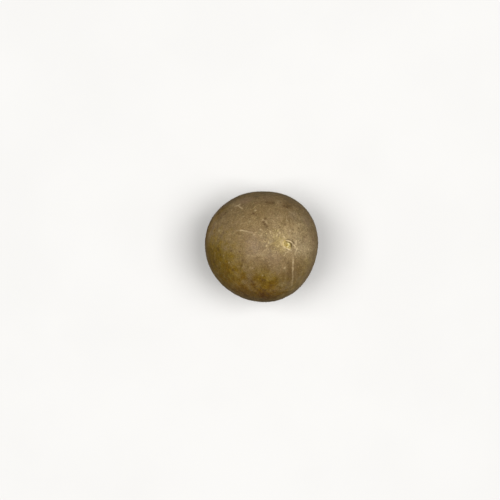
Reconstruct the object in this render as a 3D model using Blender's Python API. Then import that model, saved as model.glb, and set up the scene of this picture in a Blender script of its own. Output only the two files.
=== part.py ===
"""A dried monk fruit, whole, with the stub of its stalk standing in the scar at its stalk end.

Metres, +Z up. The origin is the centre of the small flat spot that the fruit rests on. Both pieces are
modelled about the fruit's own axis, which runs from the blossom end up to the stalk end, and then an empty
leans that axis from +Z towards +X, so the stalk scar looks up and to the right.
"""

import math

import bmesh
import bpy
from mathutils import Matrix, Vector

MM = 0.001

# Size and pose of the whole fruit
DIAMETER = 60 * MM
LENGTH = 66 * MM
LEAN = math.radians(25)
HEADING = math.radians(1)
REST_SPOT_DEPTH = 1.0 * MM

# Form of the skin: a fuller stalk half, three low lobes round the axis, and shallow hollows from drying
STALK_HALF_FULLER = 0.045
LOBES = 3
LOBE_SHARE = 0.014
LOBE_AZIMUTH = math.radians(40)
# Each hollow is heading and elevation in degrees as the fruit rests, then its radius and depth
HOLLOWS = (
    (343, 4, 14 * MM, 0.75 * MM),
    (252, 10, 12 * MM, 0.45 * MM),
    (92, 8, 11 * MM, 0.50 * MM),
    (196, 34, 10 * MM, 0.50 * MM),
    (58, 52, 8 * MM, 0.30 * MM),
    (158, -30, 11 * MM, 0.50 * MM),
    (20, -30, 11 * MM, 0.50 * MM),
    (182, -72, 12 * MM, 0.80 * MM),
)

# The stalk end: a shallow basin, a corky lip, and the socket that the stub stands in
BASIN_RADIUS = 5.5 * MM
BASIN_DEPTH = 0.8 * MM
LIP_RADIUS = 2.25 * MM
LIP_WIDTH = 0.5 * MM
LIP_HEIGHT = 0.5 * MM
SOCKET_RADIUS = 1.7 * MM
SOCKET_DEPTH = 1.8 * MM
STALK_END_RADII = (1.95 * MM, 2.25 * MM, 2.6 * MM, 3.2 * MM, 4.2 * MM, 5.8 * MM)

# The blossom end: a dimple with the little nub that the style leaves
DIMPLE_RADIUS = 4.5 * MM
DIMPLE_DEPTH = 0.5 * MM
NUB_RADIUS = 1.1 * MM
NUB_HEIGHT = 0.9 * MM
BLOSSOM_END_RADII = (0.5 * MM, 1.0 * MM, 1.6 * MM, 2.4 * MM, 3.6 * MM, 5.4 * MM)

# One vein stands out as a low ridge. It leaves the scar to one side and bends into a meridian
RIDGE_AZIMUTH = math.radians(-76)
RIDGE_BEND = math.radians(27)
RIDGE_BEND_RADIUS = 8 * MM
RIDGE_WIDTH = 0.9 * MM
RIDGE_HEIGHT = 0.3 * MM
RIDGE_START = 5 * MM
RIDGE_END = 24 * MM

# The stub of the stalk, clear of its socket all round
STUB_CLEARANCE = 0.3 * MM
STUB_RADIUS = SOCKET_RADIUS - STUB_CLEARANCE
STUB_ABOVE_LIP = 0.35 * MM
STUB_EDGE = 0.3 * MM
STUB_EDGE_STEPS = 2
STUB_SIDES = 20
ROUND_PROFILE = 0.5

# Fineness of the turned mesh
SEGMENTS = 64
LATITUDE_STEP = math.radians(4)
SMOOTH_ANGLE = math.radians(40)
MERGE_DISTANCE = 0.001 * MM
CUT_TOLERANCE = 0.00001 * MM

# Finishes: brown dried skin, and the straw colour of the cut stalk
SKIN_COLOUR = (0.262, 0.174, 0.076, 1)
SKIN_ROUGHNESS = 0.55
STUB_COLOUR = (0.533, 0.402, 0.168, 1)
STUB_ROUGHNESS = 0.75


def clear_scene():
    for existing in list(bpy.data.objects):
        bpy.data.objects.remove(existing, do_unlink=True)


def matte_material(name, colour, roughness):
    material = bpy.data.materials.new(name)
    material.use_nodes = True
    shader = material.node_tree.nodes["Principled BSDF"]
    shader.inputs["Base Color"].default_value = colour
    shader.inputs["Roughness"].default_value = roughness
    shader.inputs["Metallic"].default_value = 0
    return material


def bump(distance, width):
    """A smooth bell that is 1 at distance 0 and falls off over width."""
    return math.exp(-((distance / width) ** 2))


def skin_point(latitude):
    """Radius and height of the skin at a latitude, from -90 degrees at the blossom end to 90 at the stalk."""
    rise = math.sin(latitude)
    radius = DIAMETER / 2 * math.cos(latitude) * (1 + STALK_HALF_FULLER * rise)
    height = LENGTH / 2 * rise
    if rise > 0:
        height -= BASIN_DEPTH * bump(radius, BASIN_RADIUS)
        height += LIP_HEIGHT * bump(radius - LIP_RADIUS, LIP_WIDTH)
    else:
        height += DIMPLE_DEPTH * bump(radius, DIMPLE_RADIUS)
        height -= NUB_HEIGHT * bump(radius, NUB_RADIUS)
    return radius, height


def latitude_at(radius):
    """The latitude, on the plain ellipse, of a ring of this radius."""
    return math.acos(radius / (DIAMETER / 2))


def meridian():
    """The outline to turn: up the skin from the blossom end, then down into the socket to the axis."""
    blossom = [-latitude_at(radius) for radius in BLOSSOM_END_RADII]
    stalk = [latitude_at(radius) for radius in reversed(STALK_END_RADII)]
    steps = round((stalk[0] - blossom[-1]) / LATITUDE_STEP)
    body = [blossom[-1] + (stalk[0] - blossom[-1]) * step / steps for step in range(1, steps)]
    rows = [skin_point(latitude) for latitude in [-math.pi / 2, *blossom, *body, *stalk]]
    mouth = skin_point(latitude_at(SOCKET_RADIUS))[1]
    floor = mouth - SOCKET_DEPTH
    return [*rows, (SOCKET_RADIUS, mouth), (SOCKET_RADIUS, floor), (0, floor)]


def lobed(point):
    """Swells the lobes, most at the widest part and not at all on the axis."""
    off_axis = math.hypot(point.x, point.y)
    azimuth = math.atan2(point.y, point.x)
    share = LOBE_SHARE * math.cos(LOBES * (azimuth - LOBE_AZIMUTH)) * (off_axis / (DIAMETER / 2)) ** 2
    return Vector((point.x * (1 + share), point.y * (1 + share), point.z))


def ridged(point):
    """Raises the vein, which starts and ends softly on its way down from the stalk end."""
    off_axis = math.hypot(point.x, point.y)
    crest = RIDGE_AZIMUTH + RIDGE_BEND * bump(off_axis, RIDGE_BEND_RADIUS)
    aside = math.atan2(point.y, point.x) - crest
    if point.z < 0 or math.cos(aside) < 0:
        return point
    across = off_axis * math.sin(aside)
    along = min(max((off_axis - RIDGE_START) / (RIDGE_END - RIDGE_START), 0), 1)
    height = RIDGE_HEIGHT * bump(across, RIDGE_WIDTH) * math.sin(math.pi * along)
    return point + point.normalized() * height


def hollowed(point, upright_to_fruit):
    """Sinks the shallow hollows. Their headings are those of the resting fruit, so they are turned to its axis."""
    for heading, elevation, radius, depth in HOLLOWS:
        out = Vector((1, 0, 0))
        out.rotate(Matrix.Rotation(math.radians(-elevation), 3, "Y"))
        out.rotate(Matrix.Rotation(math.radians(heading), 3, "Z"))
        out.rotate(upright_to_fruit)
        distance = (point.normalized() - out).length * DIAMETER / 2
        point = point - out * depth * bump(distance, radius)
    return point


def press_rest_spot(fruit, down):
    """Cuts the small flat spot across the lowest part, and returns the middle of it."""
    reach = max(vertex.co.dot(down) for vertex in fruit.verts) - REST_SPOT_DEPTH
    cut = bmesh.ops.bisect_plane(
        fruit,
        geom=fruit.verts[:] + fruit.edges[:] + fruit.faces[:],
        dist=CUT_TOLERANCE,
        plane_co=down * reach,
        plane_no=down,
        clear_outer=True,
    )
    rim = [item for item in cut["geom_cut"] if isinstance(item, bmesh.types.BMEdge)]
    flat = bmesh.ops.contextual_create(fruit, geom=rim)["faces"]
    return flat[0].calc_center_bounds()


def object_from(name, shape, material):
    """Turns a finished bmesh into an object with smooth shading on its round parts."""
    bmesh.ops.recalc_face_normals(shape, faces=shape.faces)
    mesh = bpy.data.meshes.new(name)
    shape.to_mesh(mesh)
    shape.free()
    mesh.shade_smooth()
    mesh.set_sharp_from_angle(angle=SMOOTH_ANGLE)
    mesh.materials.append(material)
    made = bpy.data.objects.new(name, mesh)
    bpy.context.scene.collection.objects.link(made)
    return made


def make_fruit(lean):
    """The fruit in its own frame, and the middle of its rest spot there."""
    shape = bmesh.new()
    # The outline starts over the vein's meridian, so that a row of points lies along most of its crest
    across, along = math.cos(RIDGE_AZIMUTH), math.sin(RIDGE_AZIMUTH)
    points = [shape.verts.new((radius * across, radius * along, height)) for radius, height in meridian()]
    outline = [shape.edges.new(pair) for pair in zip(points, points[1:])]
    bmesh.ops.spin(
        shape,
        geom=points + outline,
        cent=(0, 0, 0),
        axis=(0, 0, 1),
        angle=2 * math.pi,
        steps=SEGMENTS,
        use_merge=True,
    )
    bmesh.ops.remove_doubles(shape, verts=shape.verts, dist=MERGE_DISTANCE)
    upright_to_fruit = lean.to_3x3().inverted()
    for vertex in shape.verts:
        vertex.co = hollowed(ridged(lobed(vertex.co)), upright_to_fruit)
    spot = press_rest_spot(shape, upright_to_fruit @ Vector((0, 0, -1)))
    return object_from("fruit", shape, matte_material("dried_skin", SKIN_COLOUR, SKIN_ROUGHNESS)), spot


def make_stub():
    """The cut stub: a short post with a worn edge, from just over the socket's floor to just over the lip."""
    mouth = skin_point(latitude_at(SOCKET_RADIUS))[1]
    bottom = mouth - SOCKET_DEPTH + STUB_CLEARANCE
    top = skin_point(latitude_at(LIP_RADIUS))[1] + STUB_ABOVE_LIP
    middle = (top + bottom) / 2
    shape = bmesh.new()
    bmesh.ops.create_cone(
        shape,
        cap_ends=True,
        segments=STUB_SIDES,
        radius1=STUB_RADIUS,
        radius2=STUB_RADIUS,
        depth=top - bottom,
        matrix=Matrix.Translation((0, 0, middle)),
    )
    upper_rim = [edge for edge in shape.edges if min(end.co.z for end in edge.verts) > middle]
    bmesh.ops.bevel(
        shape,
        geom=upper_rim,
        offset=STUB_EDGE,
        segments=STUB_EDGE_STEPS,
        profile=ROUND_PROFILE,
        affect="EDGES",
    )
    return object_from("stalk_stub", shape, matte_material("cut_stalk", STUB_COLOUR, STUB_ROUGHNESS))


def main():
    clear_scene()
    lean = Matrix.Rotation(HEADING, 4, "Z") @ Matrix.Rotation(LEAN, 4, "Y")
    fruit, spot = make_fruit(lean)
    stub = make_stub()
    axis = bpy.data.objects.new("fruit_axis", None)
    bpy.context.scene.collection.objects.link(axis)
    axis.matrix_world = Matrix.Translation(-(lean @ spot)) @ lean
    for piece in (fruit, stub):
        piece.parent = axis


main()
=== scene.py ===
# %% [markdown]
# # A dried monk fruit
#
# Monk fruit is dried whole over low heat. Its shell turns hard, thin and brown, keeps a little of its down,
# and shows the scar of the stalk at one end and the nub of the flower's style at the other. The packed
# model gives the form, the size and the place. This lesson makes the finish.

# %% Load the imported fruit
import math

import bpy
import numpy as np
from mathutils import Matrix, Vector, noise
from mathutils.bvhtree import BVHTree


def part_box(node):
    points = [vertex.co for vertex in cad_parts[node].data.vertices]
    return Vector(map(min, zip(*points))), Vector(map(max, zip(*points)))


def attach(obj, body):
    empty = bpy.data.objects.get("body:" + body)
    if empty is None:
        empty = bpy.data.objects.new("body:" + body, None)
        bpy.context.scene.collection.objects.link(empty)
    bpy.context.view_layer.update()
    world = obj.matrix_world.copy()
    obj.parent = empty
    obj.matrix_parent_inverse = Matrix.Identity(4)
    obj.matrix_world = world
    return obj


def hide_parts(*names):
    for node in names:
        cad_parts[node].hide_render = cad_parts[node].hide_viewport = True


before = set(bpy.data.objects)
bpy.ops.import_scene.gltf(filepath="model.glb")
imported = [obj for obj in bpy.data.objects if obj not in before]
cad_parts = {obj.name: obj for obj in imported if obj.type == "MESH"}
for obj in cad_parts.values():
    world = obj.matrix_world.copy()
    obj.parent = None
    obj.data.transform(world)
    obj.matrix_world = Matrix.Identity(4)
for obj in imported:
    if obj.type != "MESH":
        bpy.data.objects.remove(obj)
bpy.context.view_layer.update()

MM = 0.001
SEED = 11

# %% [markdown]
# ## The camera
#
# The photograph looks straight down, as a camera with no turn does. It hangs over the middle of the
# photograph, so the fruit lies a little to the right and up. The fruit is about 112 px across, and its real
# width gives the scale.

# %% Camera
PHOTO_SIDE = 500
MIDDLE_PX = (PHOTO_SIDE - 1) / 2
FRUIT_PX = (260.7, 246.3)
FRUIT_ACROSS, FRUIT_ACROSS_PX = 60 * MM, 112
PX = FRUIT_ACROSS / FRUIT_ACROSS_PX
CAMERA_ABOVE = 650 * MM
SENSOR = 36

fruit_low, fruit_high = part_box("fruit")
fruit_middle = (fruit_low + fruit_high) / 2
camera_place = fruit_middle + Vector((
    (MIDDLE_PX - FRUIT_PX[0]) * PX,
    (FRUIT_PX[1] - MIDDLE_PX) * PX,
    CAMERA_ABOVE,
))
bpy.ops.object.camera_add(location=camera_place)
camera = bpy.context.object
camera.data.sensor_width = SENSOR
camera.data.lens = SENSOR * CAMERA_ABOVE / (PHOTO_SIDE * PX)
bpy.context.scene.camera = camera
print("camera lens, mm:", round(camera.data.lens, 1))

# %% [markdown]
# ## The fruit's own frame
#
# The scar, the veins and the down follow the fruit's axis, which leans. Every piece is modelled upright
# round +Z, and one matrix leans it into place at the end. The axis runs through the middle of the stub, and
# a ray from far below finds the blossom end on it.

# %% The axis and the matrix that leans a piece into place
AXIS_LEAN = math.radians(25)
AXIS_HEADING = math.radians(1)
FAR = 0.2


def ray_tree(piece):
    return BVHTree.FromObject(piece, bpy.context.evaluated_depsgraph_get())


leaning = Matrix.Rotation(AXIS_HEADING, 4, "Z") @ Matrix.Rotation(AXIS_LEAN, 4, "Y")
turned = leaning.to_3x3()
axis = turned @ Vector((0, 0, 1))
stub_points = [vertex.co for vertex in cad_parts["stalk_stub"].data.vertices]
stub_middle = sum(stub_points, Vector()) / len(stub_points)
packed_tree = ray_tree(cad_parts["fruit"])
blossom_end = packed_tree.ray_cast(stub_middle - axis * FAR, axis)[0]
stub_reach = max((point - stub_middle).dot(axis) for point in stub_points)
heart = (blossom_end + stub_middle + axis * stub_reach) / 2
TO_PLACE = Matrix.Translation(heart) @ leaning
TO_UPRIGHT = TO_PLACE.inverted()
print("heart, mm:", np.round(heart / MM, 2))

# %% Points seen in the photograph, in the fruit's own frame
def sight(pixel):
    """The direction in which a pixel looks."""
    return Vector(((pixel[0] - MIDDLE_PX) * PX, (MIDDLE_PX - pixel[1]) * PX, -CAMERA_ABOVE))


def hit(surface, start, direction):
    """Where a ray meets a surface, in mm, and the normal there."""
    point, normal, *_ = surface.ray_cast(start, direction)
    return np.array(point) / MM, np.array(normal)


def seen_at(pixel):
    """Where a pixel looks at the fruit, in mm in the fruit's own frame."""
    point = packed_tree.ray_cast(camera_place, sight(pixel))[0]
    return np.array(TO_UPRIGHT @ point) / MM


def seen_path(*pixels):
    return [seen_at(pixel) for pixel in pixels]


print("photo's scar, mm:", np.round(seen_at((288, 245)), 1))

# %% Helpers for choosing, reading and moving points
def deselect():
    bpy.ops.object.select_all(action="DESELECT")


def only(piece):
    """Selects this piece alone."""
    deselect()
    piece.select_set(True)
    bpy.context.view_layer.objects.active = piece


def edit(piece):
    """Edit mode, with all of the piece selected."""
    only(piece)
    bpy.ops.object.mode_set(mode="EDIT")
    bpy.ops.mesh.select_all(action="SELECT")


def done():
    bpy.ops.object.mode_set(mode="OBJECT")


def apply_modifier(piece, kind, **settings):
    """Adds a modifier and applies it."""
    only(piece)
    modifier = piece.modifiers.new(kind.lower(), kind)
    for name, value in settings.items():
        setattr(modifier, name, value)
    bpy.ops.object.modifier_apply(modifier=modifier.name)


def read_rows(points, name):
    """A vector for each point, as rows of three."""
    flat = np.empty(len(points) * 3, np.float32)
    points.foreach_get(name, flat)
    return flat.reshape(-1, 3).astype(float)


def read_mm(piece):
    return read_rows(piece.data.vertices, "co") / MM


def write_mm(piece, points):
    piece.data.vertices.foreach_set("co", (points * MM).astype(np.float32).ravel())
    piece.data.update()


def store(piece, name, values):
    """Keeps a number for each point, for the material."""
    attribute = piece.data.attributes.new(name, "FLOAT", "POINT")
    attribute.data.foreach_set("value", np.clip(values, 0, 1).astype(np.float32))


print("helpers ready")

# %% Helpers for shaping: bells, ramps, noise and distances
def bell(distance, width):
    """1 at distance 0, falling off softly over width."""
    return np.exp(-((distance / width) ** 2))


def ramp(value, start, end):
    """0 at start and 1 at end, with soft ends."""
    share = np.clip((value - start) / (end - start), 0, 1)
    return share * share * (3 - 2 * share)


def rough(points, size, place, octaves=2):
    """Smooth noise, about -1 to 1, with lumps of this size in mm. Each place has its own pattern."""
    aside = Vector((place * 13.7, place * 7.3, place * 3.1))
    return np.array([noise.fractal(Vector(point) / size + aside, 1, 2, octaves) for point in points])


def span(values):
    """The least and the greatest of some values."""
    return np.round([values.min(), values.max()], 2).tolist()


def unit(vector):
    return vector / np.linalg.norm(vector)


def distance_to(points, path):
    """How far each point lies from a path of straight stretches, in mm."""
    nearest = np.full(len(points), np.inf)
    for start, end in zip(path, path[1:]):
        stretch = end - start
        share = np.clip((points - start) @ stretch / (stretch @ stretch), 0, 1)
        nearest = np.minimum(nearest, np.linalg.norm(points - start - share[:, None] * stretch, axis=1))
    return nearest


print("shaping helpers ready")

# %% [markdown]
# ## The skin: a clean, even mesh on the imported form
#
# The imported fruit's flat facets would show in its gloss, so a copy, merged and rounded with a subdivision
# surface, serves only as a form. A cube cut into a grid makes a sphere with no pinched poles. Its points
# are drawn together towards the two ends, where the detail is finest, and then shrink-wrapped outwards on
# to the form.

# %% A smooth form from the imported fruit
MERGE = 0.01 * MM
FORM_LEVELS = 2

form = bpy.data.objects.new("form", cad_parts["fruit"].data.copy())
bpy.context.collection.objects.link(form)
form.data.transform(TO_UPRIGHT)
edit(form)
bpy.ops.mesh.remove_doubles(threshold=MERGE)
bpy.ops.mesh.tris_convert_to_quads()
done()
apply_modifier(form, "SUBSURF", levels=FORM_LEVELS)
print("form:", len(form.data.polygons), "faces")

# %% A cube with a fine grid on each side
SIDE_CUTS = 14
HALVINGS = 3

deselect()
bpy.ops.mesh.primitive_cube_add(size=2)
skin = bpy.context.object
skin.name = "skin"
edit(skin)
bpy.ops.mesh.subdivide(number_cuts=SIDE_CUTS)
for _ in range(HALVINGS):
    bpy.ops.mesh.subdivide(number_cuts=1)
done()
print("skin:", len(skin.data.vertices), "points")

# %% The cube's points on a sphere, closer together at both ends
CORE = 12
STALK_PULL, STALK_PULL_WIDTH = 0.68, 0.5
BLOSSOM_PULL, BLOSSOM_PULL_WIDTH = 0.55, 0.4

grid = np.tan(read_mm(skin) * MM * math.pi / 4)
grid /= np.linalg.norm(grid, axis=1)[:, None]
polar = np.arccos(np.clip(grid[:, 2], -1, 1))
pulled = polar * (1 - STALK_PULL * bell(polar, STALK_PULL_WIDTH))
pulled += (math.pi - polar) * BLOSSOM_PULL * bell(math.pi - polar, BLOSSOM_PULL_WIDTH)
turn = np.arctan2(grid[:, 1], grid[:, 0])
sphere = np.stack([np.sin(pulled) * np.cos(turn), np.sin(pulled) * np.sin(turn), np.cos(pulled)], 1)
write_mm(skin, sphere * CORE)
apply_modifier(skin, "SHRINKWRAP", target=form, wrap_method="PROJECT")
apply_modifier(skin, "SMOOTH", factor=0.5, iterations=4)
bpy.data.objects.remove(form)
print("skin spans, mm:", np.round(np.ptp(read_mm(skin), axis=0), 2))

# %% [markdown]
# ### The socket, mostly grown over
#
# The stub all but fills its socket, and only thin dark gaps stay open beside it. So the socket's floor is
# raised almost to the lip, and the gaps are cut into it later. What lies in or round the socket is placed
# at the level of the lip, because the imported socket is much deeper.

# %% Raising the socket's floor
SOCKET_MOUTH = 2.0
STUB_OVER_LIP = 0.35
GROWN_BELOW_LIP = 0.16

lip_level = stub_reach / MM + (TO_UPRIGHT @ stub_middle).z / MM - STUB_OVER_LIP
points = read_mm(skin)
in_socket = (np.hypot(points[:, 0], points[:, 1]) < SOCKET_MOUTH) & (points[:, 2] > 0)
points[in_socket, 2] = np.maximum(points[in_socket, 2], lip_level - GROWN_BELOW_LIP)
write_mm(skin, points)
print("lip at", round(lip_level, 2), "mm")

# %% Points seen at the level of the lip
def seen_on_lip(*pixels):
    """Where pixels look at the level of the lip, in mm across the axis."""
    eye = np.array(TO_UPRIGHT @ camera_place) / MM
    found = []
    for pixel in pixels:
        ahead = np.array(TO_UPRIGHT.to_3x3() @ sight(pixel))
        found.append((eye + ahead * (lip_level - eye[2]) / ahead[2])[:2])
    return found


print("photo's plug, mm:", *seen_on_lip((287.3, 244.6)))

# %% [markdown]
# ## The skin's relief
#
# A dried shell is nearly smooth. It has slow dents, a fine leathery grain, faint lengthwise veins, small
# warts and pocks, and a few scratches. Each kind is a height in mm, worked out for every point, and the sum
# is pushed out along the normals. Code can follow the fruit's axis, which a texture can't. Some kinds also
# leave a mask for the material, so that the colour sits exactly on the relief.

# %% Slow dents and leathery grain
base = read_mm(skin)
outwards = read_rows(skin.data.vertex_normals, "vector")
off_axis = np.hypot(base[:, 0], base[:, 1])
around = np.arctan2(base[:, 1], base[:, 0])
stalk_half = base[:, 2] > 0
END_FADE = (3, 7)
WAVE_HEIGHT, DENT_DEPTH = 0.18, 0.2
WRINKLE_HEIGHT, GRAIN_HEIGHT = 0.1, 0.03

away_from_ends = ramp(off_axis, *END_FADE)
dents = WAVE_HEIGHT * rough(base, 13, 1) - DENT_DEPTH * ramp(rough(base, 7.5, 2), 0.25, 0.7)
wrinkled = ramp(rough(base, 15, 4, 1), -0.25, 0.35)
wrinkles = WRINKLE_HEIGHT * (1 - 3 * np.abs(rough(base, 4.5, 3, 3))) * wrinkled
grain = GRAIN_HEIGHT * rough(base, 1.3, 5)
slow_relief = (dents + wrinkles) * away_from_ends + grain
print("slow relief, mm:", span(slow_relief))

# %% Lengthwise veins, and creases that gather at the two ends
VEINS = 9
VEIN_WIDTH, VEIN_HEIGHT = 0.55, 0.055
CREASES = 26
CREASE_HEIGHT = 0.11

ring = np.stack([np.cos(around), np.sin(around), base[:, 2] / 40], 1)
wander = 0.1 * rough(base, 11, 6)
turns = (around + wander) * VEINS / (2 * math.pi)
beside_vein = np.abs(turns - np.round(turns)) * 2 * math.pi / VEINS * off_axis
broken = ramp(rough(base, 6, 7), -0.25, 0.3)
veins = bell(beside_vein, VEIN_WIDTH) * broken * away_from_ends
gather = bell(off_axis - 6, 3.6) * (0.35 + 0.65 * ramp(rough(ring, 0.5, 8, 1), -0.2, 0.4))
creases = gather * np.array([
    noise.fractal(Vector((CREASES / 6 * x, CREASES / 6 * y, z)), 1, 2, 2) for x, y, z in ring
])
print("creases:", span(creases))

# %% Unsteady points, and marks along paths
WOBBLE = 0.24
WOBBLE_SIZE = 1.5

wobbly = base + WOBBLE * np.stack([rough(base, WOBBLE_SIZE, place) for place in (60, 61, 62)], 1)


def greatest_of(marks, points, place):
    """The greatest of several marks at each point. Each has its pixels, its width in mm and its size."""
    greatest = np.zeros(len(points))
    for pixels, width, size in marks:
        greatest = np.maximum(greatest, size * bell(distance_to(points, place(*pixels)), width))
    return greatest


print("points moved, mm:", span(wobbly - base))

# %% The pale streak: one vein that stands out
# Each stretch has its pixels, its width in mm and how strongly it shows
STREAK = (
    (((292.3, 256), (292.8, 259.4)), 0.36, 0.18),
    (((292.9, 259.4), (292.8, 261.6), (292.6, 264)), 0.39, 0.68),
    (((292.6, 264), (292.5, 266.6)), 0.34, 0.42),
    (((292.5, 266.6), (292.5, 269.2), (292.4, 271.4)), 0.39, 0.64),
    (((292.4, 271.4), (292.4, 274.8)), 0.34, 0.38),
    (((292.4, 275.4), (292.3, 278.2)), 0.37, 0.5),
    (((292.1, 279), (291.8, 281.3), (291.4, 284.1), (291.2, 286.2)), 0.42, 0.32),
    (((294.9, 271), (294.8, 275.4)), 0.5, 0.1),
    (((285.6, 268), (285.2, 277), (285, 286)), 0.42, 0.08),
)
GROOVE = (((289.3, 264), (288.8, 270), (288.4, 277), (288, 285)), 0.9, 1)
STREAK_HEIGHT, GROOVE_DEPTH = 0.08, 0.07

streak = greatest_of(STREAK, (base + wobbly) / 2, seen_path)
groove = greatest_of([GROOVE], wobbly, seen_path)
streak_relief = STREAK_HEIGHT * streak - GROOVE_DEPTH * groove
beads = 0.45 + 0.55 * ramp(rough(base, 1.1, 9), -0.35, 0.3)
print("streak, mm:", span(streak_relief))

# %% [markdown]
# ### The scar of the stalk
#
# Where the stalk broke off, a torn corky ring stands round the plug, with thin folds beyond it. Each is a
# ridge or a groove along a short path that was read off the photograph, so it lies where the real one does.
# Those in and round the socket are measured flat, across the axis.

# %% The torn ring, and the gaps between it and the plug
# Each has its pixels, its width, and its height or depth, in mm
CRESTS = (
    (((286.4, 240), (287.9, 240.4), (289.5, 240.7)), 0.34, 0.42),
    (((289.5, 240.7), (291, 241.9), (292.4, 243.3)), 0.29, 0.34),
    (((283.7, 245.9), (285.2, 247.1)), 0.32, 0.38),
    (((286.4, 247.6), (287.2, 248.3), (289.2, 249.2)), 0.34, 0.42),
    (((289.2, 249.2), (291, 249.9)), 0.28, 0.2),
    (((283.1, 242), (283, 244.3)), 0.3, 0.19),
)
GAPS = (
    (((291.6, 243.5), (291.2, 244.8), (291.1, 246)), 0.42, 0.6),
    (((291.1, 246), (292.1, 247)), 0.3, 0.25),
    (((290.9, 243.4), (289, 242.2), (287.4, 241.9)), 0.38, 0.46),
    (((287.4, 241.9), (285.8, 241.1)), 0.36, 0.34),
    (((284.5, 242.5), (284.4, 243.2)), 0.36, 0.18),
    (((285.3, 246.6), (286.6, 247.2)), 0.24, 0.14),
)
# What lies within this line's edge, from full to none in mm, is the inside of the ring
INNER_LINE = ((285.3, 243.3), (288.2, 244.9))
INNER_EDGE = (2.1, 1.5)

flat_points = wobbly[:, :2] * 0.6 + base[:, :2] * 0.4
crests = greatest_of(CRESTS, flat_points, seen_on_lip) * stalk_half
crests *= 0.75 + 0.25 * ramp(rough(base, 0.9, 11, 1), -0.3, 0.3)
gaps = greatest_of(GAPS, flat_points, seen_on_lip) * stalk_half
inner = ramp(distance_to(flat_points, seen_on_lip(*INNER_LINE)), *INNER_EDGE) * stalk_half
print("crests, mm:", span(crests))

# %% Folds and hollows beyond the ring
FOLDS = (
    (((293.4, 244.3), (294, 245.3), (294.8, 246.2)), 0.42, 0.24),
    (((295.9, 240.7), (295.8, 243.8)), 0.46, 0.15),
    (((294.2, 247.7), (295.2, 248)), 0.34, 0.14),
    (((296.7, 248), (296.1, 249.2)), 0.46, 0.21),
    (((295.5, 250.8), (295, 251.8)), 0.36, 0.12),
    (((283.2, 236), (284.3, 237.3)), 0.38, 0.19),
    (((282.1, 239.6), (282.2, 240.7)), 0.36, 0.13),
    (((280.9, 242.2), (281.3, 244.4)), 0.38, 0.1),
    (((284, 255.2), (284.9, 253.2), (286.4, 251.5), (287.6, 250.9)), 0.3, 0.1),
    (((298.2, 251.6), (299.2, 252.2)), 0.38, 0.1),
    (((294.8, 252.8), (294.9, 254)), 0.4, 0.1),
)
HOLLOWS = (
    (((292.3, 240.9), (293.5, 242.2), (294.2, 243.2)), 0.64, 0.23),
    (((285.9, 238.9), (287.9, 238.6), (290.1, 238.9)), 0.42, 0.28),
    (((295.1, 244.4), (296.2, 246.4)), 0.32, 0.11),
    (((293.2, 249.2), (294.6, 249.2)), 0.36, 0.14),
    (((290.8, 251), (290.9, 251.5)), 0.36, 0.12),
    (((283.8, 251.7), (284.4, 251.9)), 0.4, 0.09),
    (((286.2, 253), (286.5, 253.5)), 0.34, 0.09),
    (((285.3, 248.6), (287.4, 250)), 0.42, 0.17),
)

fold_relief = greatest_of(FOLDS, wobbly, seen_path)
hollow_relief = greatest_of(HOLLOWS, wobbly, seen_path)
print("folds, mm:", span(fold_relief))

# %% The cork between them, and the nub's small crater
CORK_REACH = (4.4, 2.0)
CORK_ROUGH = 0.06
NUB_EDGE = (2.2, 0.8)
NUB_ROUGH = 0.1
CRATER_RADIUS, CRATER_DEPTH = 0.34, 0.28
# The height in mm at which a crest or a fold is fully pale, or a hollow or a gap fully dark with painted
# shade
PALE_CREST, PALE_FOLD = 0.32, 0.28
DARK_HOLLOW, DARK_GAP = 1 / 1.9, 1 / 2

cork = ramp(off_axis + 1.2 * rough(base, 1.7, 12), *CORK_REACH) * stalk_half
cork_relief = cork * CORK_ROUGH * (rough(base, 0.6, 13) + 0.8 * rough(base, 1.4, 14, 1))
nub = ramp(off_axis, *NUB_EDGE) * ~stalk_half
crater = CRATER_DEPTH * bell(off_axis, CRATER_RADIUS) * ~stalk_half
nub_relief = NUB_ROUGH * nub * rough(base, 0.7, 16) - crater
scar_relief = crests + fold_relief - hollow_relief - gaps + cork_relief + nub_relief
scar_pale = np.maximum(crests / PALE_CREST, fold_relief / PALE_FOLD)
scar_painted_shade = np.maximum(hollow_relief / DARK_HOLLOW, gaps / DARK_GAP)
print("scar relief, mm:", span(scar_relief))

# %% [markdown]
# ### Warts, pocks and scratches
#
# They lie all over the shell. Those that the photograph shows are placed by pixel. The rest are scattered
# by a seeded draw, so that the sides and the back are as finished.

# %% Warts, pocks and scratches
# A wart or a pock has its pixel and its radius in mm, a scratch its pixels and how strongly it shows
WARTS_PX = (
    (218.7, 230.1, 0.62), (239, 203.9, 0.52), (262.4, 219.2, 0.4), (251.3, 232.2, 0.42), (253.5, 234, 0.45),
    (260.2, 229, 0.45), (260.6, 235, 0.42), (270.2, 231.3, 0.42), (279.2, 232.3, 0.48),
    (276.9, 234.2, 0.42), (269, 242.7, 0.45), (280.4, 241.1, 0.48), (266.1, 245.2, 0.45),
    (278, 245.6, 0.42), (264.1, 250, 0.42), (303.9, 246.8, 0.48), (308, 248.6, 0.48), (289.6, 230.3, 0.45),
    (298.8, 223.9, 0.42), (284.1, 267.5, 0.48), (287, 220, 0.42), (230.9, 209.6, 0.38), (228.5, 262, 0.35),
    (262, 275, 0.35),
)
BRIGHT_WART_PX, BRIGHT_WART = (255, 209.9), (0.5, 1.15)
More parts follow.
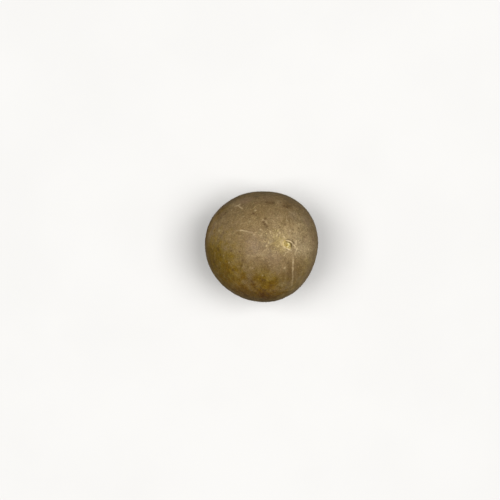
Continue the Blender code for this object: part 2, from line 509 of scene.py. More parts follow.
SCRATCHES_PX = (
    (((236.2, 229.9), (239.5, 229.9)), 0.35),
    (((239.5, 229.9), (242.8, 230.1), (246.2, 230.5)), 0.9),
    (((246.2, 230.5), (248, 231.4), (251.3, 232.2)), 0.5),
    (((234.2, 205.5), (237.2, 205.1), (239, 204.2)), 1.15),
    (((238.2, 205.6), (242, 208.2)), 0.85),
    (((262.4, 219.1), (264.8, 221), (267.2, 223.2)), 0.45),
    (((272.4, 219.6), (273.6, 220.8), (274.4, 222.6)), 0.35),
    (((286.2, 216), (286, 221)), 0.34),
    (((292.6, 205.8), (294.2, 207.6)), 0.34),
    (((214.4, 252), (214.4, 259)), 0.26),
)
POCKS_PX = (
    (264.8, 218, 0.55), (263, 221.6, 0.6), (264.6, 223.6, 0.6), (266.2, 225.8, 0.55), (279.2, 227, 0.45),
    (284.8, 224.4, 0.45), (266.4, 202.1, 0.6), (269.2, 202.3, 0.55), (272.2, 202.3, 0.6),
    (253.2, 213.2, 0.5), (284, 205.4, 0.7), (286.2, 206.6, 0.6), (299.4, 231.4, 0.34), (303.6, 236.2, 0.45),
    (298.2, 227.8, 0.45), (251.4, 281.2, 0.6), (252.4, 284, 0.55), (247.8, 278, 0.5), (262, 279.8, 0.6),
    (264.6, 279.9, 0.6), (270.6, 285.7, 0.65), (264, 290, 0.85), (262.5, 293, 0.6), (272.8, 290.2, 0.6),
    (256.6, 289.4, 0.5), (267.7, 293.8, 0.6), (260.2, 287.2, 0.45), (217.6, 248.6, 0.7),
    (230.8, 250.2, 0.5), (239.4, 251.2, 0.5), (247.3, 252.6, 0.4), (219.8, 254.3, 0.62),
    (213.4, 261.6, 0.75), (241.9, 260.3, 0.5), (241.3, 265.7, 0.42), (247.3, 266.6, 0.45),
    (232.4, 269.6, 0.6), (224.8, 212.2, 0.7), (255.4, 214.8, 0.5),
)
LOOSE_WARTS, LOOSE_SCRATCHES, LOOSE_POCKS = 110, 36, 90
WART_HEIGHT, POCK_DEPTH, SCRATCH_HEIGHT = 0.13, 0.05, 0.025
SCRATCH_WIDTH = 0.26
POCK_SPREAD = 1.15

draw = np.random.default_rng(SEED)
warts, pocks, scratches = np.zeros((3, len(base)))


def add_wart(centre, radius, strength=1.0):
    np.maximum(warts, strength * bell(np.linalg.norm(base - centre, axis=1), radius), out=warts)


def add_pock(centre, radius, strength=1.0):
    np.maximum(pocks, strength * bell(np.linalg.norm(wobbly - centre, axis=1), radius), out=pocks)


def add_scratch(path, strength):
    np.maximum(scratches, strength * bell(distance_to(wobbly, path), SCRATCH_WIDTH), out=scratches)


for x, y, radius in WARTS_PX:
    add_wart(seen_at((x, y)), radius)
add_wart(seen_at(BRIGHT_WART_PX), *BRIGHT_WART)
for x, y, radius in POCKS_PX:
    add_pock(seen_at((x, y)), POCK_SPREAD * radius)
for pixels, strength in SCRATCHES_PX:
    add_scratch(seen_path(*pixels), strength)
shell_tree = ray_tree(skin)
skyward = np.array(turned.inverted() @ Vector((0, 0, 1)))


def on_shell(direction):
    """The point and the normal of the shell in a direction from the heart."""
    return hit(shell_tree, Vector(), Vector(direction))


def faint_in_photo(normal):
    """Less where the photograph shows the skin, which has few such marks there."""
    return 0.3 if float(normal @ skyward) > 0.2 else 1.0


for _ in range(LOOSE_WARTS):
    centre, normal = on_shell(draw.normal(size=3))
    add_wart(centre, draw.uniform(0.2, 0.45), 0.4 + 0.6 * faint_in_photo(normal))
for _ in range(LOOSE_SCRATCHES):
    centre, normal = on_shell(draw.normal(size=3))
    run = np.cross(normal, draw.normal(size=3))
    run *= draw.uniform(0.8, 2.6) / np.linalg.norm(run)
    bow = np.cross(normal, run) * draw.uniform(-0.15, 0.15)
    ends = [on_shell(centre + shift)[0] for shift in (-run, bow, run)]
    add_scratch(ends, draw.uniform(0.2, 0.6) * faint_in_photo(normal))
for _ in range(LOOSE_POCKS):
    centre, normal = on_shell(draw.normal(size=3))
    add_pock(centre, draw.uniform(0.35, 0.7), draw.uniform(0.4, 1.0) * faint_in_photo(normal))
warts *= 0.75 + 0.25 * rough(base, 0.8, 20, 1)
print("points on warts:", int((warts > 0.5).sum()))

# %% The heights added up, and the masks kept for the material
relief = slow_relief + VEIN_HEIGHT * veins + CREASE_HEIGHT * creases + streak_relief + scar_relief
relief += WART_HEIGHT * warts - POCK_DEPTH * pocks + SCRATCH_HEIGHT * scratches * away_from_ends
write_mm(skin, base + outwards * relief[:, None])
masks = {
    "pale": np.maximum.reduce([streak * beads, scar_pale, 0.6 * warts, 0.7 * scratches]),
    "cork": cork,
    "inner": inner,
    # painted shade in the scar's gaps and hollows, and a little in the groove beside the streak
    "shade": scar_painted_shade + 0.2 * groove,
    "vein": veins,
    "crest": 0.5 + 0.25 * (wrinkles / WRINKLE_HEIGHT + grain / GRAIN_HEIGHT),
    "nub": nub,
    "pock": pocks,
}
for name, values in masks.items():
    store(skin, name, values)
print("relief, mm:", span(relief))

# %% Leaned into place, flat where it rests
skin.data.transform(TO_PLACE)
placed = read_mm(skin)
placed[:, 2] = np.maximum(placed[:, 2], 0)
write_mm(skin, placed)
only(skin)
bpy.ops.object.shade_smooth()
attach(skin, "root")
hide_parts("fruit")
print("points that rest:", int((placed[:, 2] <= 0.001).sum()))

# %% [markdown]
# ## The stub of the stalk
#
# What is left of the stalk is a short, ribbed post. Its torn end has a bright curved ridge round a yellow
# pith, and falls away to the right and below. A circle is extruded upwards and inset at the top, and a
# subdivision surface rounds it. Then its ribs and its torn end are moved in code.

# %% The stub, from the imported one's own size
STUB_SIDES, STUB_RISES, STUB_LEVELS = 36, 7, 2
STUB_FIT = 0.96
# How far in each inset of the top goes, and how far it sinks in mm
STUB_INSETS = (
    (0.93, 0), (0.9, -0.03), (0.88, 0), (0.86, -0.02), (0.82, 0), (0.76, -0.02), (0.62, 0), (0.4, 0),
)

packed_stub = np.array([TO_UPRIGHT @ point for point in stub_points]) / MM
stub_low, stub_high = packed_stub[:, 2].min(), packed_stub[:, 2].max()
stub_radius = np.hypot(packed_stub[:, 0], packed_stub[:, 1]).max()

deselect()
bpy.ops.mesh.primitive_circle_add(
    vertices=STUB_SIDES, radius=stub_radius * STUB_FIT * MM, fill_type="NGON", location=(0, 0, stub_low * MM)
)
stub = bpy.context.object
stub.name = "stub"
bpy.ops.object.transform_apply()
edit(stub)
rise = (stub_high - stub_low) / STUB_RISES * MM
for step in range(STUB_RISES):
    bpy.ops.mesh.extrude_region_move(TRANSFORM_OT_translate={"value": (0, 0, rise)})
for spread, sink in STUB_INSETS:
    bpy.ops.mesh.extrude_region_move(TRANSFORM_OT_translate={"value": (0, 0, sink * MM)})
    bpy.ops.transform.resize(value=(spread, spread, 1))
bpy.ops.mesh.select_all(action="SELECT")
bpy.ops.mesh.normals_make_consistent()
done()
apply_modifier(stub, "SUBSURF", levels=STUB_LEVELS)
print("stub's radius, mm:", round(stub_radius, 2))

# %% Ribs and the torn end
STUB_RIBS = 11
RIB_SHARE, UNEVEN_SHARE = 0.035, 0.07
STUB_BOW = (-0.3, 0.16)
STUB_RIDGE = ((287.0, 242.8), (288.0, 243.1), (288.8, 244.4), (288.3, 245.6), (286.9, 246.3))
STUB_PITH = ((286.6, 244.3), (286.4, 244.9))
RIDGE_WIDTH, PITH_WIDTH = 0.42, 0.46
RIDGE_HEIGHT, TORN_ROUGH, TORN_DROP = 0.1, 0.05, 0.12
# Each hollow of the torn end has its pixels, its width and its depth in mm
STUB_HOLLOWS = (
    (STUB_PITH, 0.42, 0.24),
    (((289.6, 245.8), (288.4, 247.6)), 0.62, 0.42),
    (((290.3, 243.6), (290.2, 245.4)), 0.55, 0.38),
    (((285.2, 242.6), (286, 242)), 0.5, 0.34),
    (((285, 246.2), (285.6, 246.8)), 0.35, 0.18),
)

points = read_mm(stub)
stub_around = np.arctan2(points[:, 1], points[:, 0])
stub_off = np.hypot(points[:, 0], points[:, 1])
ribs = np.cos(STUB_RIBS * stub_around + 2.2 * rough(points, 2.2, 30, 1))
thin = 1 + (RIB_SHARE * ribs + UNEVEN_SHARE * rough(points, 0.9, 31)) * ramp(stub_off, 0.2, 0.9)
points[:, :2] *= thin[:, None]
points[:, :2] += np.array(STUB_BOW) * ramp(points[:, 2], stub_low, stub_high - 0.4)[:, None]
torn_top = ramp(points[:, 2], stub_high - 0.9, stub_high - 0.1)
loose = points[:, :2] + 0.1 * np.stack([rough(points, 0.5, place) for place in (33, 34)], 1)
stub_ridge = bell(distance_to(loose, seen_on_lip(*STUB_RIDGE)), RIDGE_WIDTH)
stub_pith = bell(distance_to(loose, seen_on_lip(*STUB_PITH)), PITH_WIDTH)
stub_worn = greatest_of(STUB_HOLLOWS, loose, seen_on_lip)
torn = RIDGE_HEIGHT * stub_ridge - stub_worn + TORN_ROUGH * rough(points, 0.35, 32) - TORN_DROP
points[:, 2] += torn_top * torn
write_mm(stub, points)
# The last mask is for painted shade in the torn end's hollows
for name, values in (("top", 1), ("ridge", stub_ridge), ("pith", stub_pith), ("hollow_shade", 2 * stub_worn)):
    store(stub, name, values * torn_top)
stub.data.transform(TO_PLACE)
only(stub)
bpy.ops.object.shade_smooth()
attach(stub, "root")
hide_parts("stalk_stub")
print("stub:", len(stub.data.polygons), "faces")

# %% [markdown]
# ## Strands: torn fibres and the last of the down
#
# Both are thin strands along the skin: short flat fibres torn out of the ring, and thousands of fine hairs.
# One strand is modelled from a cone with three sides, cut across a few times. Each copy is bent along its
# own line, which starts under the skin and follows it. Real meshes are used because an export drops hair
# curves.

# %% One strand to copy
STRAND_SIDES = 3
STRAND_CUTS = 3

deselect()
bpy.ops.mesh.primitive_cone_add(vertices=STRAND_SIDES, radius1=1, radius2=0.12, depth=1, location=(0, 0, 0.5))
strand = bpy.context.object
bpy.ops.object.transform_apply()
edit(strand)
for cut in range(1, STRAND_CUTS + 1):
    bpy.ops.mesh.select_all(action="SELECT")
    bpy.ops.mesh.bisect(plane_co=(0, 0, cut / (STRAND_CUTS + 1)), plane_no=(0, 0, 1))
done()
strand_shape = read_rows(strand.data.vertices, "co")
strand_faces = [tuple(face.vertices) for face in strand.data.polygons]
bpy.data.objects.remove(strand)
print("one strand:", len(strand_faces), "faces")

# %% Laying strands on the finished skin
skin_tree = ray_tree(skin)
ROOT_DEPTH = 0.12


def strand_line(root, run, length, lift):
    """Points along a strand that starts under the skin, follows it and lifts at its tip."""
    line = []
    for share in np.linspace(0, 1, STRAND_CUTS + 2):
        place, normal, *_ = skin_tree.find_nearest(Vector((root + run * length * share) * MM))
        clear = -ROOT_DEPTH * (1 - share) ** 3 + lift * length * share + 0.02
        line.append(np.array(place) / MM + np.array(normal) * clear)
    return np.array(line), np.array(normal)


def lay_strands(name, strands):
    """One mesh with a copy of the strand bent along each (line, normal, width, thickness)."""
    all_points, all_faces = [], []
    shares = strand_shape[:, 2]
    for line, normal, width, thickness in strands:
        step = shares * (len(line) - 1)
        lower = np.minimum(step.astype(int), len(line) - 2)
        within = (step - lower)[:, None]
        centre = line[lower] * (1 - within) + line[lower + 1] * within
        ahead = line[-1] - line[0]
        side = unit(np.cross(ahead, normal))
        up = unit(np.cross(side, ahead))
        copy = centre + strand_shape[:, :1] * width * side + strand_shape[:, 1:2] * thickness * up
        first = len(all_points) * len(strand_shape)
        all_points.append(copy)
        all_faces += [tuple(first + index for index in face) for face in strand_faces]
    mesh = bpy.data.meshes.new(name)
    mesh.from_pydata((np.concatenate(all_points) * MM).tolist(), [], all_faces)
    piece = bpy.data.objects.new(name, mesh)
    bpy.context.collection.objects.link(piece)
    edit(piece)
    bpy.ops.mesh.normals_make_consistent()
    done()
    bpy.ops.object.shade_smooth()
    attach(piece, "root")
    return piece


print("ready to lay strands")

# %% The down: fine hairs, thick round the stalk end and thin below
HAIRS = 6500
HAIR_LENGTH = (0.5, 1.7)
HAIR_RADIUS = (0.014, 0.026)
HAIR_LIFT = (0.02, 0.22)
HAIR_STRAY = 0.75
BARE_BELOW = 2.5
BARE_AT_STUB = 0.075

hair_draw = np.random.default_rng(SEED + 1)
hairs = []
while len(hairs) < HAIRS:
    out = unit(hair_draw.normal(size=3))
    root, normal = hit(skin_tree, heart, turned @ Vector(out))
    density = 0.3 + 0.7 * ramp(out[2], -0.2, 0.95)
    patchy = ramp(noise.fractal(Vector(root) / 6, 1, 2, 2), -0.35, 0.35)
    near_stub = math.hypot(out[0], out[1]) < BARE_AT_STUB and out[2] > 0
    if near_stub or root[2] < BARE_BELOW or hair_draw.random() > density * (0.35 + 0.65 * patchy):
        continue
    down_the_side = np.array(axis) - normal * (normal @ np.array(axis))
    stray = HAIR_STRAY * hair_draw.normal(size=3)
    run = unit(np.cross(normal, np.cross(stray - down_the_side, normal)))
    length = hair_draw.uniform(*HAIR_LENGTH)
    line, tip_normal = strand_line(root, run, length, hair_draw.uniform(*HAIR_LIFT))
    radius = hair_draw.uniform(*HAIR_RADIUS)
    hairs.append((line, tip_normal, radius, radius))
down = lay_strands("down", hairs)
print("down:", len(hairs), "hairs")

# %% Torn fibres round the scar
FIBRES = 30
FIBRE_FROM = (1.9, 3.6)
FIBRE_LENGTH = (0.4, 1.3)
FIBRE_LIFT = (0, 0.08)
FIBRE_WIDTH, FIBRE_THICKNESS = (0.05, 0.11), 0.04
FIBRE_TURN = 1.2

fibre_draw = np.random.default_rng(SEED + 2)
fibres = []
for _ in range(FIBRES):
    angle = fibre_draw.uniform(0, 2 * math.pi)
    distance = fibre_draw.uniform(*FIBRE_FROM)
    above = TO_PLACE @ (Vector((distance * math.cos(angle), distance * math.sin(angle), stub_high + 3)) * MM)
    root = hit(skin_tree, above, -axis)[0]
    heading = angle + fibre_draw.normal(0, FIBRE_TURN)
    run = np.array(turned @ Vector((math.cos(heading), math.sin(heading), 0)))
    length = fibre_draw.uniform(*FIBRE_LENGTH)
    line, tip_normal = strand_line(root, run, length, fibre_draw.uniform(*FIBRE_LIFT))
    fibres.append((line, tip_normal, fibre_draw.uniform(*FIBRE_WIDTH), FIBRE_THICKNESS))
torn_fibres = lay_strands("torn_fibres", fibres)
print("torn fibres:", len(fibres))

# %% [markdown]
# ## Effects that the materials share
#
# Each effect is a node group, so that one recipe serves several finishes with other values. `mottling`
# gives soft blotches, `flecks` small ragged spots, `soft_patch` one large stain round a point, and
# `fine_grain` the height of a leathery or corky surface. All of them work in millimetres.

# %% Helpers for nodes, which all work on the tree in hand
def linear(red, green, blue):
    """A colour as seen on a screen, 0 to 255, in the linear values that shaders use."""
    return tuple(
        share / 12.92 if share <= 0.04045 else ((share + 0.055) / 1.055) ** 2.4
        for share in (red / 255, green / 255, blue / 255)
    ) + (1.0,)


def add_node(kind, inputs=None, **settings):
    """A node with its settings, and with each named or numbered input linked or set."""
    node = tree.nodes.new("ShaderNode" + kind)
    for name, value in settings.items():
        setattr(node, name, value)
    for key, value in (inputs or {}).items():
        if isinstance(value, bpy.types.NodeSocket):
            tree.links.new(value, node.inputs[key])
        else:
            node.inputs[key].default_value = value
    return node


def maths(operation, first, second):
    return add_node("Math", {0: first, 1: second}, operation=operation).outputs[0]


def times(first, second):
    return maths("MULTIPLY", first, second)


def soft_range(value, start, end):
    """0 at start and 1 at end, with soft ends."""
    inputs = {"Value": value, "From Min": start, "From Max": end}
    return add_node("MapRange", inputs, interpolation_type="SMOOTHSTEP").outputs["Result"]


def stretched(value, low, high):
    """Turns 0 to 1 into low to high."""
    return add_node("MapRange", {"Value": value, "To Min": low, "To Max": high}).outputs["Result"]


def new_group(name, numbers, result):
    """A node group with a vector, these inputs and one result, and the sockets at its two ends."""
    group = bpy.data.node_groups.new(name, "ShaderNodeTree")
    group.interface.new_socket(name="Vector", in_out="INPUT", socket_type="NodeSocketVector")
    for label, value in numbers.items():
        kind = "NodeSocketFloat" if isinstance(value, float) else "NodeSocketVector"
        group.interface.new_socket(name=label, in_out="INPUT", socket_type=kind).default_value = value
    group.interface.new_socket(name=result, in_out="OUTPUT", socket_type="NodeSocketFloat")
    return group, group.nodes.new("NodeGroupInput").outputs, group.nodes.new("NodeGroupOutput").inputs


def count_nodes():
    print(tree.name, "has", len(tree.nodes), "nodes")


print("a mid grey is", round(linear(128, 128, 128)[0], 3))

# %% Mottling: soft blotches
tree, given, out = new_group("mottling", {"Size": 1.0, "Detail": 2.0, "From": 0.4, "To": 0.6}, "Mask")
per_mm = maths("DIVIDE", 1.0, given["Size"])
blotches = add_node("TexNoise", {"Vector": given["Vector"], "Scale": per_mm, "Detail": given["Detail"]})
mask = soft_range(blotches.outputs["Fac"], given["From"], given["To"])
tree.links.new(mask, out["Mask"])
mottling = tree
count_nodes()

# %% Flecks: small ragged spots in some of the cells
FLECK_CORE = 0.35

tree, given, out = new_group("flecks", {"Spacing": 1.0, "Radius": 0.3, "Ragged": 0.5, "Share": 0.5}, "Mask")
per_mm = maths("DIVIDE", 1.0, given["Spacing"])
wobble = add_node("TexNoise", {"Vector": given["Vector"], "Scale": times(per_mm, 2.5), "Detail": 2.0})
centred = add_node("VectorMath", {0: wobble.outputs["Color"], 1: (0.5, 0.5, 0.5)}, operation="SUBTRACT")
reach = times(given["Ragged"], given["Spacing"])
shifted = add_node("VectorMath", {0: centred.outputs[0], "Scale": reach}, operation="SCALE")
warped = add_node("VectorMath", {0: given["Vector"], 1: shifted.outputs[0]}, operation="ADD")
cells = add_node("TexVoronoi", {"Vector": warped.outputs[0], "Scale": per_mm})
chance = add_node("SeparateColor", {0: cells.outputs["Color"]}).outputs[0]
chosen = maths("LESS_THAN", chance, given["Share"])
core = times(given["Radius"], FLECK_CORE)
spots = soft_range(cells.outputs["Distance"], given["Radius"], core)
tree.links.new(times(spots, chosen), out["Mask"])
flecks = tree
count_nodes()

# %% Soft patch: one stain with an uneven edge round a point
EDGE_PER_MM, EDGE_STRENGTH = 0.28, 4.0
PATCH_CORE = 0.15

tree, given, out = new_group("soft_patch", {"Centre": (0, 0, 0), "Radius": 5.0, "Uneven": 3.0}, "Mask")
away = add_node("VectorMath", {0: given["Vector"], 1: given["Centre"]}, operation="DISTANCE")
edge = add_node("TexNoise", {"Vector": given["Vector"], "Scale": EDGE_PER_MM, "Detail": 4.0})
uneven = times(maths("SUBTRACT", edge.outputs["Fac"], 0.5), given["Uneven"])
reach = maths("ADD", away.outputs["Value"], times(uneven, EDGE_STRENGTH))
stain = soft_range(reach, given["Radius"], times(given["Radius"], PATCH_CORE))
tree.links.new(stain, out["Mask"])
soft_patch = tree
count_nodes()

# %% Fine grain: the height of a leathery or corky surface
tree, given, out = new_group("fine_grain", {"Size": 0.5, "Pores": 0.5}, "Height")
per_mm = maths("DIVIDE", 1.0, given["Size"])
lumps = add_node("TexNoise", {"Vector": given["Vector"], "Scale": per_mm, "Detail": 4.0})
pits = add_node("TexVoronoi", {"Vector": given["Vector"], "Scale": times(per_mm, 1.4)})
pit_walls = soft_range(pits.outputs["Distance"], 0.0, 0.45)
open_pores = times(pit_walls, given["Pores"])
tree.links.new(maths("ADD", lumps.outputs["Fac"], open_pores), out["Height"])
fine_grain = tree
count_nodes()

# %% Helpers for a finish
def take_in_hand(name):
    """A new material. Its tree, its shader and places in mm are now in hand."""
    global tree, shader, spot
    material = bpy.data.materials.new(name)
    material.use_nodes = True
    tree = material.node_tree
    shader = tree.nodes["Principled BSDF"]
    spot = add_node("Mapping", {
        "Vector": add_node("TexCoord").outputs["Object"],
        "Location": heart,
        "Rotation": leaning.to_euler(),
        "Scale": (MM, MM, MM),
    }, vector_type="TEXTURE").outputs["Vector"]
    return material


def feed(name, value):
    """Links a pattern to the shader in hand."""
    tree.links.new(value, shader.inputs[name])


def feed_bump(height, strength, depth):
    bump = add_node("Bump", {"Height": height, "Strength": strength, "Distance": depth})
    feed("Normal", bump.outputs["Normal"])


def effect(group, **values):
    """Places a shared effect with this finish's own values."""
    return add_node("Group", values, node_tree=group).outputs[0]


def mottle(size, start, end, detail=3.0):
    """Blotches of this size in mm, from none where the noise is at start to full at end."""
    return effect(mottling, Vector=spot, Size=size, Detail=detail, From=start, To=end)


def kept(name):
    """A mask that was stored on the mesh."""
    return add_node("Attribute", attribute_name=name).outputs["Fac"]


def paint(colour, *layers, blend="MIX"):
    """Lays colours, each with its mask and its strength. MULTIPLY stains what is under."""
    for over, mask, strength in layers:
        if strength != 1:
            mask = times(mask, strength)
        inputs = {"Factor": mask, 6: colour, 7: over}
        colour = add_node("Mix", inputs, data_type="RGBA", blend_type=blend).outputs[2]
    return colour


print("finish helpers ready")

# %% [markdown]
# ## The skin's finish
#
# The colour is painted in layers, from the broadest to the finest: a khaki ground with patches of other
# browns, pale scurf that is thickest near the scar, specks and dark pores, yellow and brown stains that tint
# all of it and also paint shade on the lower side and along the bottom edge, and last the marks that the
# relief left masks for, with painted shade in the scar's gaps and hollows. Dried skin is satin: its roughness
# follows blotches, so that the gloss breaks up, and a fine grain bends the light.

# %% Colours of the fruit
KHAKI = linear(124, 102, 66)
UMBER = linear(92, 72, 42)
RUST = linear(82, 50, 16)
MOSS = linear(92, 86, 50)
GREY = linear(142, 126, 100)
ROSY = linear(132, 106, 80)
PALE = linear(150, 128, 94)
DARK = linear(64, 48, 26)
SCURF = linear(180, 158, 114)
CORK = linear(218, 195, 152)
STRAW = linear(176, 154, 92)
BRIGHT_STRAW = linear(212, 195, 138)
PITH = linear(150, 124, 38)
OLIVE = linear(104, 84, 36)
POCK = linear(70, 46, 22)
# Dark brown: the pores' own colour, and the colour of painted shade in the scar's gaps and hollows and down
# the socket
SHADE_AND_PORE_BROWN = linear(64, 45, 24)
# Tints that multiply what is under: stains, and also painted shade on the lower side and along the bottom
# edge
YELLOW_STAIN_AND_SHADE = (0.84, 0.7, 0.18, 1.0)
OCHRE_STAIN_AND_SHADE = (0.95, 0.95, 0.38, 1.0)
BROWN_STAIN_AND_SHADE = (0.72, 0.66, 0.55, 1.0)
print("khaki ground:", [round(share, 3) for share in KHAKI[:3]])

# %% Skin: the ground and its patches
# Under each colour, every patch has its pixel, its radius in mm and how strongly it shows
PATCHES = (
    (ROSY, ((250, 246, 8, 0.42), (273, 257, 6, 0.34), (243, 200, 5, 0.65), (211, 228, 6, 0.6))),
    (PALE, (
        (211, 232, 9, 0.66), (294, 254, 4, 0.25), (281, 237, 7, 0.45), (275, 219, 6, 0.4), (292, 232, 5, 0.5),
        (281, 267, 4, 0.3),
    )),
    (GREY, ((304, 244, 9, 0.6), (306, 222, 6, 0.45))),
    (MOSS, ((303, 219, 6, 0.2),)),
    (PALE, ((303, 269, 5, 0.3), (311, 246, 5, 0.45))),
    (GREY, ((284, 285, 5, 0.3),)),
    (UMBER, ((267, 229, 4, 0.4), (280, 208, 5, 0.25))),
    (PALE, ((279, 201.7, 3, 0.4),)),
    (GREY, ((293.5, 215, 4, 0.5),)),
    (PALE, ((234, 203.5, 4, 0.32),)),
    (ROSY, ((267, 198, 4, 0.4), (221.5, 213, 2.5, 0.55), (212.5, 226, 2.5, 0.5))),
    (UMBER, ((294.5, 218.5, 3, 0.45),)),
    (ROSY, ((306, 222, 2.5, 0.5), (305, 239, 2.5, 0.5), (313, 240, 2.5, 0.5))),
    (GREY, ((301, 245, 4, 0.45),)),
    (UMBER, ((310, 242, 2, 0.4),)),
    (ROSY, ((213, 234, 8, 0.28),)),
    (PALE, ((232, 281, 5, 0.3), (315, 252, 5, 0.35))),
)
PATCH_SPREAD, PATCH_UNEVEN = 1.35, 0.45


def patch_mask(x, y, radius):
    """A soft, uneven patch of this radius in mm, round a pixel of the photograph."""
    centre = tuple(float(edge) for edge in seen_at((x, y)))
    spread, uneven = radius * PATCH_SPREAD, radius * PATCH_UNEVEN
    return effect(soft_patch, Vector=spot, Centre=centre, Radius=spread, Uneven=uneven)


def patches(colours):
    """Layers for paint, from patches that are listed by colour."""
    return [
        (colour, patch_mask(x, y, radius), strength)
        for colour, places in colours
        for x, y, radius, strength in places
    ]


skin.data.materials.append(take_in_hand("dried_skin"))
colour = paint(
    KHAKI,
    (UMBER, mottle(16, 0.45, 0.68, detail=2), 0.34),
    *patches(PATCHES),
    (DARK, mottle(2.6, 0.5, 0.72, detail=4), 0.22),
)
count_nodes()

# %% Skin: scurf, specks, pores and fine grain
# Each zone of scurf has its pixel and its radius in mm
SCURF_PX = ((284, 240, 9), (269, 238, 6.5), (300, 232, 7), (305, 247, 8))
BESIDE_PLUG_PX = (274, 239, 7)

scurf_zone = mottle(9, 0.54, 0.82, detail=2)
for x, y, radius in SCURF_PX:
    scurf_zone = maths("MAXIMUM", scurf_zone, patch_mask(x, y, radius))
clouds = mottle(1.9, 0.5, 0.72, detail=4)
scurf = mottle(0.8, 0.53, 0.67)
pores = effect(flecks, Vector=spot, Spacing=2.3, Radius=0.22, Ragged=0.5, Share=0.45)
colour = paint(
    colour,
    (SCURF, scurf_zone, 0.28),
    (SCURF, times(clouds, stretched(scurf_zone, 0.09, 0.26)), 1),
    (UMBER, mottle(0.95, 0.5, 0.34), 0.32),
    (SCURF, times(scurf, stretched(scurf_zone, 0.16, 0.76)), 1),
    (BRIGHT_STRAW, times(scurf, patch_mask(*BESIDE_PLUG_PX)), 0.3),
    (ROSY, mottle(1.3, 0.52, 0.7), 0.3),
    (MOSS, mottle(1.7, 0.52, 0.7), 0.26),
    (SHADE_AND_PORE_BROWN, pores, 0.6),
    (DARK, mottle(0.5, 0.44, 0.62), 0.33),
    (SCURF, mottle(0.62, 0.52, 0.66), 0.22),
)
count_nodes()

# %% Skin: stains, painted shade on the lower side, and rust spots
# The patches from pixel row 294 down lie along the fruit's bottom edge, and are partly painted shade that
# darkens it
STAINS_AND_EDGE_SHADE = (
    (YELLOW_STAIN_AND_SHADE, (
        (214, 264, 16, 0.88), (230, 270, 8, 0.6), (238, 289, 12, 0.74), (264, 288, 10, 0.85),
        (250, 296, 12, 0.78), (274, 294, 9, 0.8),
    )),
    (OCHRE_STAIN_AND_SHADE, (
        (216, 270, 14, 0.88), (224, 282, 8, 0.6), (214, 252, 12, 0.9), (226, 268, 12, 0.9),
        (236, 250, 9, 0.3), (266, 283, 7, 0.9), (262, 274, 6, 0.6), (278, 242, 6, 0.34), (294, 285, 7, 0.45),
        (225, 208, 4, 0.4), (262, 297, 11, 0.8), (228, 275, 9, 0.35), (209, 257, 7, 0.35), (280, 282, 6, 0.4),
        (304, 268, 6, 0.35), (248, 299, 8, 0.4), (279, 296, 8, 0.4),
    )),
    (BROWN_STAIN_AND_SHADE, (
        (289, 275, 10, 0.8), (248, 270, 9, 0.55), (268, 300, 13, 0.85), (264, 299, 8, 0.45),
        (267, 246, 5, 0.4), (290, 203, 7, 0.4), (286, 205, 3.5, 0.6), (269, 202, 3.5, 0.5),
        (256, 208, 5, 0.55), (304, 232, 5, 0.3), (293.5, 243, 3, 0.55), (244, 257, 5, 0.35),
        (266.5, 266.5, 4.5, 0.7), (294, 268, 6, 0.5), (257, 281, 6, 0.6), (245, 294, 7, 0.55),
        (270, 235, 5, 0.2), (243, 233, 5, 0.3), (232, 245, 5, 0.25), (262, 245, 9, 0.24),
    )),
)
# The lower side is darkened from this height down, in mm from the heart: yellow and brown blotches that are
# partly stains and partly painted shade. The sides that the photograph doesn't show are stained from this
# height down, in mm from the heart
LOW_SHADE_FROM, LOW_SHADE_FULL = 16, -4
RUST_PX, FAINT_RUST_PX = (264, 291, 7), (219, 270, 5)

above_heart = add_node("SeparateXYZ", {0: spot}).outputs["Z"]
# A mask that grows towards the bottom, for stains with painted shade
below = soft_range(above_heart, LOW_SHADE_FROM, LOW_SHADE_FULL)
low_yellow_and_shade = times(mottle(21, 0.46, 0.6), below)
low_brown_and_shade = times(mottle(17, 0.52, 0.4), below)
colour = paint(
    colour,
    (YELLOW_STAIN_AND_SHADE, low_yellow_and_shade, 0.8),
    (BROWN_STAIN_AND_SHADE, low_brown_and_shade, 0.6),
    *patches(STAINS_AND_EDGE_SHADE),
    blend="MULTIPLY",
)
rust_zone = maths("MAXIMUM", patch_mask(*RUST_PX), times(patch_mask(*FAINT_RUST_PX), 0.3))
rust_zone = maths("MAXIMUM", rust_zone, low_yellow_and_shade)
colour = paint(colour, (RUST, times(mottle(1.5, 0.5, 0.68), rust_zone), 0.6))
count_nodes()

# %% Skin: the marks that the relief kept
ragged = mottle(0.6, 0.3, 0.6)
colour = paint(
    colour,
    (UMBER, kept("vein"), 0.25),
    (SCURF, soft_range(kept("crest"), 0.55, 0.95), 0.1),
    (CORK, times(kept("cork"), ragged), 0.22),
    (STRAW, kept("inner"), 0.8),
    (CORK, times(kept("pale"), soft_range(ragged, -0.9, 0.5)), 0.85),
    (POCK, kept("pock"), 0.78),
    (UMBER, kept("nub"), 0.6),
    # Painted shade: dark brown in the scar's gaps, hollows and groove, and olive where the gaps lie inside
    # the ring
    (SHADE_AND_PORE_BROWN, kept("shade"), 0.8),
    (OLIVE, times(kept("shade"), kept("inner")), 0.75),
)
feed("Base Color", colour)
count_nodes()

# %% Skin: satin gloss and grain
SATIN = (0.44, 0.62)
CORK_MATTE = 0.35
GRAIN_DEPTH = 0.05 * MM
CORK_GRAIN = 9.0

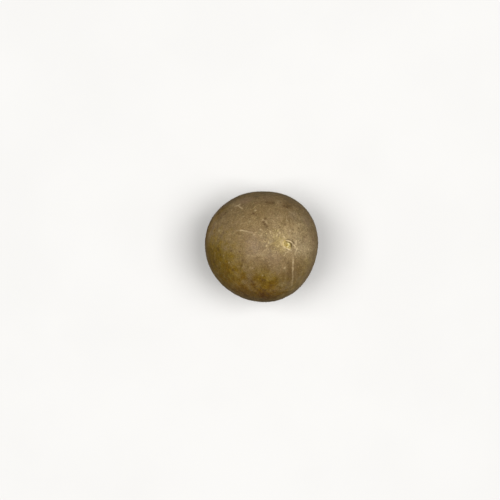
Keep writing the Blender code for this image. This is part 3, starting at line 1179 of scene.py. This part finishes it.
matte = times(maths("MAXIMUM", kept("cork"), kept("pale")), CORK_MATTE)
satin = stretched(mottle(3.2, 0.35, 0.7), *SATIN)
feed("Roughness", maths("ADD", satin, matte))
leather = effect(fine_grain, Vector=spot, Size=0.42, Pores=0.35)
cork_grain = times(mottle(0.3, 0.35, 0.65), times(matte, CORK_GRAIN))
feed_bump(maths("ADD", leather, cork_grain), 0.55, GRAIN_DEPTH)
for socket, value in (
    ("Specular IOR Level", 0.2),
    ("Sheen Weight", 0.03),
    ("Sheen Roughness", 0.35),
    ("Sheen Tint", linear(214, 205, 176)),
):
    shader.inputs[socket].default_value = value
count_nodes()

# %% [markdown]
# ## The stub's and the fibres' finish
#
# Dry stalk is matte wood, the colour of straw: bright on its torn ridge, which is pale fibre with a painted
# highlight, yellow in its pith, olive lower down, and dark with painted shade in its hollows and down in the
# socket. The fibres are as pale as cork. The down is dull like dry grass.

# %% Stub
# How far from the middle of the stub's end the painted shade of the socket starts, and is darkest, in mm
SOCKET_SHADE = (1.5, 2.6)
STUB_GRAIN_DEPTH = 0.06 * MM

stub.data.materials.append(take_in_hand("cut_stalk"))
stub_end = (0, 0, float(stub_high))
depth = add_node("VectorMath", {0: spot, 1: stub_end}, operation="DISTANCE").outputs["Value"]
stub_colour = paint(
    OLIVE,
    (STRAW, kept("top"), 0.85),
    # The torn ridge: pale fibre, brightened further with a painted highlight
    (BRIGHT_STRAW, kept("ridge"), 0.95),
    (OLIVE, mottle(0.55, 0.48, 0.64), 0.35),
    # painted shade in the torn end's hollows
    (OLIVE, kept("hollow_shade"), 0.6),
    (PITH, kept("pith"), 0.9),
    # painted shade down in the socket
    (SHADE_AND_PORE_BROWN, soft_range(depth, *SOCKET_SHADE), 0.65),
)
feed("Base Color", stub_colour)
stub_grain = effect(fine_grain, Vector=spot, Size=0.22, Pores=0.6)
feed("Roughness", stretched(stub_grain, 0.62, 0.85))
feed_bump(stub_grain, 0.6, STUB_GRAIN_DEPTH)
count_nodes()

# %% Fibres and down
ROUGHNESS_SPREAD = 0.08

for piece, name, light, dark, roughness in (
    (torn_fibres, "torn_fibre", CORK, PITH, 0.75),
    (down, "down_hair", linear(158, 136, 94), KHAKI, 0.6),
):
    piece.data.materials.append(take_in_hand(name))
    blotch = mottle(1.8, 0.4, 0.62, detail=2)
    feed("Base Color", paint(light, (dark, blotch, 1)))
    feed("Roughness", stretched(blotch, roughness - ROUGHNESS_SPREAD, roughness + ROUGHNESS_SPREAD))
    count_nodes()

# %% [markdown]
# ## Floor and light
#
# Two large area lights, well to the left and the right of the camera, shade the fruit softly and light the
# floor evenly. The floor isn't seen in the fruit's gloss, and throws back only part of the light, so that
# the fruit's lower side stays as brown as in the photograph. The world adds a little light all round, and
# is pale where the camera sees it past the floor.

# %% Floor
FLOOR_RADIUS = 1.1
FLOOR_SIDES = 128

deselect()
bpy.ops.mesh.primitive_circle_add(vertices=FLOOR_SIDES, radius=FLOOR_RADIUS, fill_type="NGON")
floor = bpy.context.object
floor.name = "floor"
floor.data.materials.append(take_in_hand("pale_floor"))
bounced = add_node("LightPath").outputs["Is Diffuse Ray"]
feed("Base Color", paint(
    linear(212, 211, 209),
    (linear(210, 209, 207), mottle(60, 0.3, 0.7), 1),
    (linear(174, 172, 164), bounced, 1),
))
shader.inputs["Roughness"].default_value = 0.85
floor.visible_glossy = False
print("floor:", FLOOR_RADIUS, "m in radius")

# %% Lights
LIGHT_AWAY = 4.0
LIGHT_LEAN = math.radians(22)
LIGHT_SIDE = 2.1
LIGHTS = (("key_right", 1, 139), ("key_left", -1, 117))

for name, side, watts in LIGHTS:
    lean = side * LIGHT_LEAN
    place = fruit_middle + Vector((math.sin(lean), 0, math.cos(lean))) * LIGHT_AWAY
    bpy.ops.object.light_add(type="AREA", location=place, rotation=(0, lean, 0))
    lamp = bpy.context.object
    lamp.name = name
    lamp.data.shape = "SQUARE"
    lamp.data.size = LIGHT_SIDE
    lamp.data.energy = watts
print(len(LIGHTS), "lights")

# %% World: a low fill, and a pale backdrop for the camera
FILL = 0.10
BACKDROP = 0.88

world = bpy.data.worlds.new("pale_world")
world.use_nodes = True
tree = world.node_tree
seen = add_node("LightPath").outputs["Is Camera Ray"]
background = tree.nodes["Background"]
background.inputs["Color"].default_value = (1.0, 0.995, 0.985, 1.0)
tree.links.new(stretched(seen, FILL, BACKDROP), background.inputs["Strength"])
bpy.context.scene.world = world
bpy.context.scene.view_settings.view_transform = "Standard"
print("world fill", FILL)
